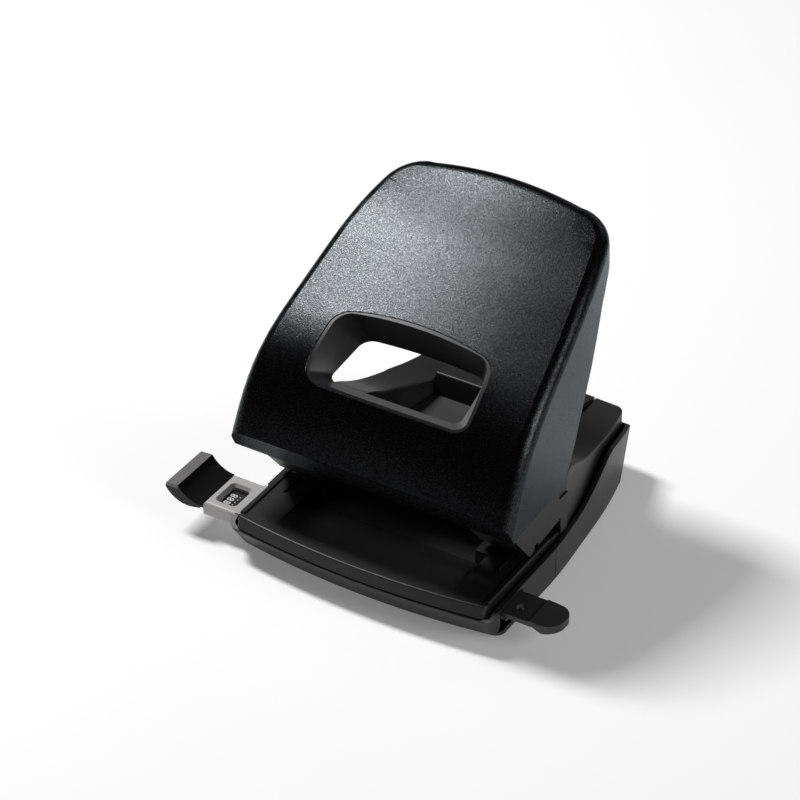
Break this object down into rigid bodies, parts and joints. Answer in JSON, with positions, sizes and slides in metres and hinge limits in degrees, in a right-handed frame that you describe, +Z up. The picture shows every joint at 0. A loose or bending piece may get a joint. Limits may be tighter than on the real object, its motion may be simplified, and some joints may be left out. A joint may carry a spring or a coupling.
{
  "type": "hole punch",
  "caption": "Desk hole punch with a wide tilting handle, a finger window through it, a sliding format guide and a drop-down chip tray.",
  "frame": {"origin": "on the resting face of the mat, midway between the two punch pins and level with their axes", "axes": "+X across the punch along the pin line, +Y from the paper side to the back, +Z up from the table"},
  "size_m": [0.1647, 0.132, 0.1264],
  "materials": {
    "handle_face": "satin with a fine grain",
    "window_sleeve": "satin",
    "body_plastic": "matte with a fine grain",
    "stop_pad": "matte, lightly textured",
    "guide_grey": "matte",
    "rail_black": "satin",
    "label_print": "printed, pale marks on black",
    "mat_rubber": "matte",
    "zinc_steel": "zinc plated",
    "bright_steel": "ground",
    "tool_steel": "hardened and ground",
    "dark_steel": "phosphated",
    "spring_steel": "drawn wire"
  },
  "bodies": {
    "base": {"base_shell": "body_plastic", "front_feet": "mat_rubber", "paper_table": "body_plastic", "table_screws": "dark_steel", "punch_bracket_left": "zinc_steel", "punch_bracket_right": "zinc_steel", "punch_die_left": "tool_steel", "punch_die_right": "tool_steel", "bracket_screws": "dark_steel", "pivot_axle": "bright_steel", "axle_clips": "dark_steel", "wing_cover_left": "body_plastic", "wing_cover_right": "body_plastic", "centre_cover": "body_plastic", "cover_screws": "dark_steel", "format_sleeve": "guide_grey", "rail_detent_spring": "spring_steel", "tray_hinge_pins": "bright_steel", "return_spring_left": "spring_steel", "return_spring_right": "spring_steel"},
    "handle": {"handle_cover": "handle_face", "handle_window_sleeve": "window_sleeve", "handle_lever": "zinc_steel", "press_rod": "bright_steel", "lever_screws": "dark_steel"},
    "pin_left": {"punch_pin_left": "tool_steel", "pin_collar_left": "dark_steel"},
    "pin_right": {"punch_pin_right": "tool_steel", "pin_collar_right": "dark_steel"},
    "guide": {"guide_rail": "rail_black", "format_label": "label_print", "end_stop": "body_plastic", "end_stop_pad": "stop_pad"},
    "chip_tray": {"chip_tray": "body_plastic", "tray_mat": "mat_rubber"}
  },
  "joints": [
    {"name": "handle_press", "type": "hinge", "parent": "base", "child": "handle", "pos_m": [0, -0.017, 0.05], "axis": [-1, 0, 0], "range_deg": [0, 30], "stiffness_Nm_per_rad": 0.9, "springref_deg": -14.32, "deforming": ["return_spring_left", "return_spring_right"]},
    {"name": "pin_left_stroke", "type": "slide", "parent": "base", "child": "pin_left", "axis": [0, 0, -1], "range_m": [0, 0.0089]},
    {"name": "pin_right_stroke", "type": "slide", "parent": "base", "child": "pin_right", "axis": [0, 0, -1], "range_m": [0, 0.0089]},
    {"name": "guide_slide", "type": "slide", "parent": "base", "child": "guide", "axis": [-1, 0, 0], "range_m": [0, 0.08]},
    {"name": "tray_open", "type": "hinge", "parent": "base", "child": "chip_tray", "pos_m": [0, -0.022, 0.0053], "axis": [-1, 0, 0], "range_deg": [0, 60]}
  ],
  "couplings": [
    {"joint": "pin_left_stroke", "follows": "handle_press", "m_per_rad": 0.017},
    {"joint": "pin_right_stroke", "follows": "handle_press", "m_per_rad": 0.017}
  ]
}
